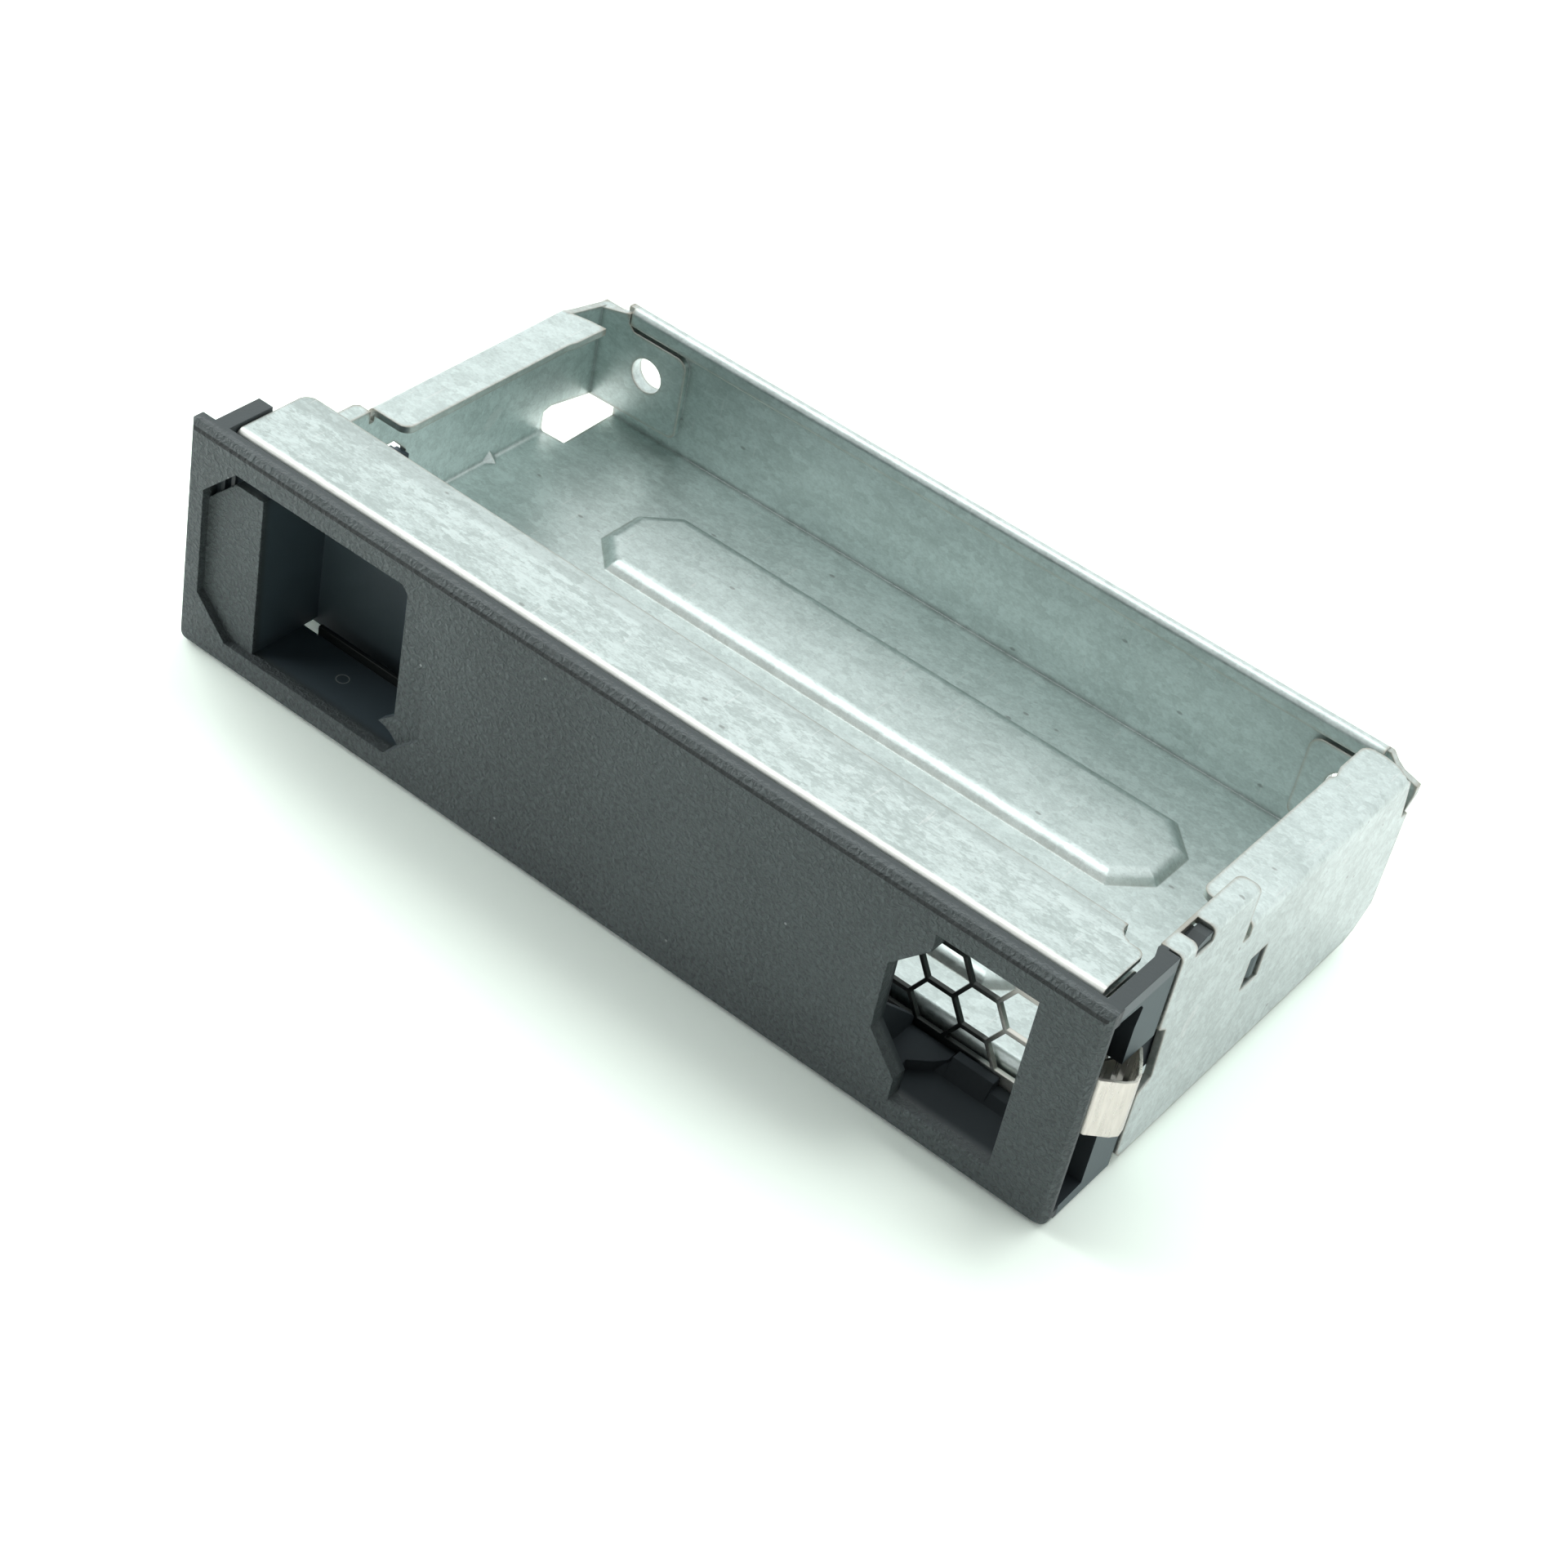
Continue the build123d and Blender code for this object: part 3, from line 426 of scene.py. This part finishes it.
def plated_spring(finishes):
    """Satin plating with fine rolled lines along the strip, and painted shade on the inner leaf."""
    material, tree, shader = tree_of("spring_plating")
    lines = noise(tree, (400, 3800, 240), 3.0, 0.6)
    colour = blend_colour(tree, ramp(tree, lines, 0.3, 0.7), tinted(finishes.spring_colour, 0.88),
                          finishes.spring_colour)
    # Painted shade on the inner leaf
    leaf = ramp(tree, coordinates(tree)[ACROSS], *LEAF_RIGHT, 0.0, 0.74)
    tree.links.new(blend_colour(tree, leaf, colour, PAINTED_SHADE), shader.inputs["Base Color"])
    shader.inputs["Metallic"].default_value = 0.85
    rough = maths(tree, "ADD", product(tree, lines, 0.18), 0.20)
    tree.links.new(rough, shader.inputs["Roughness"])
    bumped(tree, shader, lines, strength=0.12, distance=0.02 * MM, edge_radius=0.08 * MM)
    return material


def rubbed_mark(finishes):
    """Plastic rubbed grey."""
    material, _, shader = tree_of("rubbed_mark")
    shader.inputs["Base Color"].default_value = finishes.mark_colour
    shader.inputs["Roughness"].default_value = 0.5
    return material


def dress(node_name, material):
    """Gives a CAD node its finish."""
    for slot in bpy.data.objects[node_name].material_slots:
        slot.material = material


def new_object(name, shape, material):
    """Turns a finished bmesh into an object."""
    mesh = bpy.data.meshes.new(name)
    shape.to_mesh(mesh)
    shape.free()
    mesh.materials.append(material)
    made = bpy.data.objects.new(name, mesh)
    bpy.context.collection.objects.link(made)
    return made


class BLANK_OT_bezel(bpy.types.Operator):
    """Finish the black moulding"""
    bl_idname = "blank.bezel"
    bl_label = "Finish the bezel"

    def execute(self, context):
        dress("front_bezel", black_moulding(context.scene.blank_finishes))
        return {"FINISHED"}


class BLANK_OT_sheets(bpy.types.Operator):
    """Finish the vented front panel and the tray"""
    bl_idname = "blank.sheets"
    bl_label = "Finish the folded sheets"

    def execute(self, context):
        finishes = context.scene.blank_finishes
        panel = galvanised_sheet("panel_zinc", 0.5 * MM, finishes, rolled=(0.5, 1.1, 1.1), mottle=1.4,
                                 gain=1.05, vented=True)
        dress("front_panel", panel)
        tray = galvanised_sheet("tray_zinc", 0.8 * MM, finishes, rolled=(0.65, 1.0, 1.0), mottle=0.8,
                                gain=1.12)
        dress("steel_tray", tray)
        return {"FINISHED"}


class BLANK_OT_spring(bpy.types.Operator):
    """Finish the contact spring"""
    bl_idname = "blank.spring"
    bl_label = "Finish the contact spring"

    def execute(self, context):
        dress("contact_spring", plated_spring(context.scene.blank_finishes))
        return {"FINISHED"}


class BLANK_OT_ejector_marks(bpy.types.Operator):
    """Add the raised ring that an ejector pin left on the pocket's floor"""
    bl_idname = "blank.ejector_marks"
    bl_label = "Add the ejector mark"

    def execute(self, context):
        ring = bmesh.new()
        bmesh.ops.create_circle(ring, cap_ends=False, segments=28, radius=MARK_RADIUS)
        bmesh.ops.translate(ring, verts=ring.verts, vec=(0, 0, MARK_LIFT))
        made = bmesh.ops.extrude_edge_only(ring, edges=ring.edges)["geom"]
        inner = [item for item in made if isinstance(item, bmesh.types.BMVert)]
        bmesh.ops.scale(ring, verts=inner, vec=(MARK_INSIDE, MARK_INSIDE, 1))
        bmesh.ops.solidify(ring, geom=ring.faces[:], thickness=MARK_WALL)
        bmesh.ops.translate(ring, verts=ring.verts, vec=MARK_SPOT)
        bmesh.ops.recalc_face_normals(ring, faces=ring.faces)
        mark = new_object("ejector_mark", ring, rubbed_mark(context.scene.blank_finishes))
        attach(mark, "root")
        return {"FINISHED"}


class BLANK_OT_studio(bpy.types.Operator):
    """Set up the floor, soft lamps, room light and camera"""
    bl_idname = "blank.studio"
    bl_label = "Set up the studio"

    def execute(self, context):
        scene = context.scene
        studio = scene.blank_studio
        scene.view_settings.view_transform = "Standard"
        sheet = bmesh.new()
        bmesh.ops.create_grid(sheet, x_segments=1, y_segments=1, size=FLOOR_HALF)
        floor = new_object("floor", sheet, self.floor_paper())
        scene.world = self.room(studio.sky)
        for name, spot, target, width, setting, unseen_by in LAMPS:
            lamp = self.lamp(name, place(*spot), place(*target), width * MM, getattr(studio, setting))
            setattr(lamp, unseen_by, False)
        scene.camera = self.camera(studio.lens)
        return {"FINISHED"}

    def floor_paper(self):
        """White paper that keeps the shadow and is plain white where it is lit."""
        material, tree, shader = tree_of("floor_paper")
        tree.nodes.remove(shader)
        rays = node(tree, "LightPath").outputs
        seen = maths(tree, "MAXIMUM", rays["Is Camera Ray"], rays["Is Glossy Ray"])
        colour = blend_colour(tree, rays["Is Glossy Ray"], PAPER_LIT, PAPER_MIRRORED)
        colour = blend_colour(tree, rays["Is Camera Ray"], colour, PAPER_SEEN)
        paper = node(tree, "BsdfDiffuse", in_Color=colour)
        glow = node(tree, "Emission", in_Color=(1, 1, 1, 1), in_Strength=product(tree, seen, PAPER_GLOW))
        both = node(tree, "AddShader", in_0=paper.outputs[0], in_1=glow.outputs[0])
        tree.links.new(both.outputs[0], tree.nodes["Material Output"].inputs["Surface"])
        return material

    def room(self, sky):
        """Even light, white to the camera and a little greyer where reflections show the front."""
        world = bpy.data.worlds.new("room")
        world.use_nodes = True
        tree = world.node_tree
        rays = node(tree, "LightPath").outputs
        seen = maths(tree, "MAXIMUM", rays["Is Camera Ray"], rays["Is Glossy Ray"])
        seen = maths(tree, "MAXIMUM", seen, rays["Is Transmission Ray"])
        direction = node(tree, "SeparateXYZ", in_0=node(tree, "TexCoord").outputs["Generated"]).outputs
        mirrored = ramp(tree, direction[ALONG], -0.7, 0.0, 0.82, 1.0)
        shown = maths(tree, "MAXIMUM", mirrored, rays["Is Camera Ray"])
        strength = node(tree, "MapRange", in_0=seen, in_3=sky, in_4=shown).outputs[0]
        background = tree.nodes["Background"]
        background.inputs["Color"].default_value = (1, 1, 1, 1)
        tree.links.new(strength, background.inputs["Strength"])
        return world

    def lamp(self, name, spot, target, width, power):
        """Square area lamp that looks at a target."""
        light = bpy.data.lights.new(name, "AREA")
        light.shape = "SQUARE"
        light.size = width
        light.energy = power
        lamp = bpy.data.objects.new(name, light)
        turn = (target - spot).to_track_quat("-Z", "Y").to_matrix().to_4x4()
        lamp.matrix_world = Matrix.Translation(spot) @ turn
        bpy.context.collection.objects.link(lamp)
        return lamp

    def camera(self, lens):
        """Camera at the photograph's place."""
        data = bpy.data.cameras.new("camera")
        data.sensor_width = 36
        data.lens = lens
        data.clip_start = 0.01
        data.clip_end = 50
        camera = bpy.data.objects.new("camera", data)
        right = CAMERA_RIGHT.normalized()
        back = (CAMERA_BACK - right * CAMERA_BACK.dot(right)).normalized()
        turn = Matrix((right, back.cross(right), back)).transposed().to_4x4()
        camera.matrix_world = Matrix.Translation(CAMERA_SPOT) @ turn
        bpy.context.collection.objects.link(camera)
        return camera


class BLANK_PT_panel(bpy.types.Panel):
    """Buttons and settings of the blank"""
    bl_idname = "BLANK_PT_panel"
    bl_label = "Drive Bay Blank"
    bl_space_type = "VIEW_3D"
    bl_region_type = "UI"
    bl_category = "Blank"

    def draw(self, context):
        layout = self.layout
        for group in (context.scene.blank_finishes, context.scene.blank_studio):
            for name in group.__annotations__:
                layout.prop(group, name)
        for step in STEPS:
            layout.operator(step.bl_idname)


STEPS = (BLANK_OT_bezel, BLANK_OT_sheets, BLANK_OT_spring, BLANK_OT_ejector_marks, BLANK_OT_studio)
CLASSES = (BlankFinishes, BlankStudio, *STEPS, BLANK_PT_panel)


def register():
    for cls in CLASSES:
        bpy.utils.register_class(cls)
    bpy.types.Scene.blank_finishes = bpy.props.PointerProperty(type=BlankFinishes)
    bpy.types.Scene.blank_studio = bpy.props.PointerProperty(type=BlankStudio)


def unregister():
    del bpy.types.Scene.blank_studio
    del bpy.types.Scene.blank_finishes
    for cls in reversed(CLASSES):
        bpy.utils.unregister_class(cls)


def main():
    register()
    for step in STEPS:
        group, name = step.bl_idname.split(".")
        getattr(getattr(bpy.ops, group), name)()


if __name__ == "__main__":
    main()
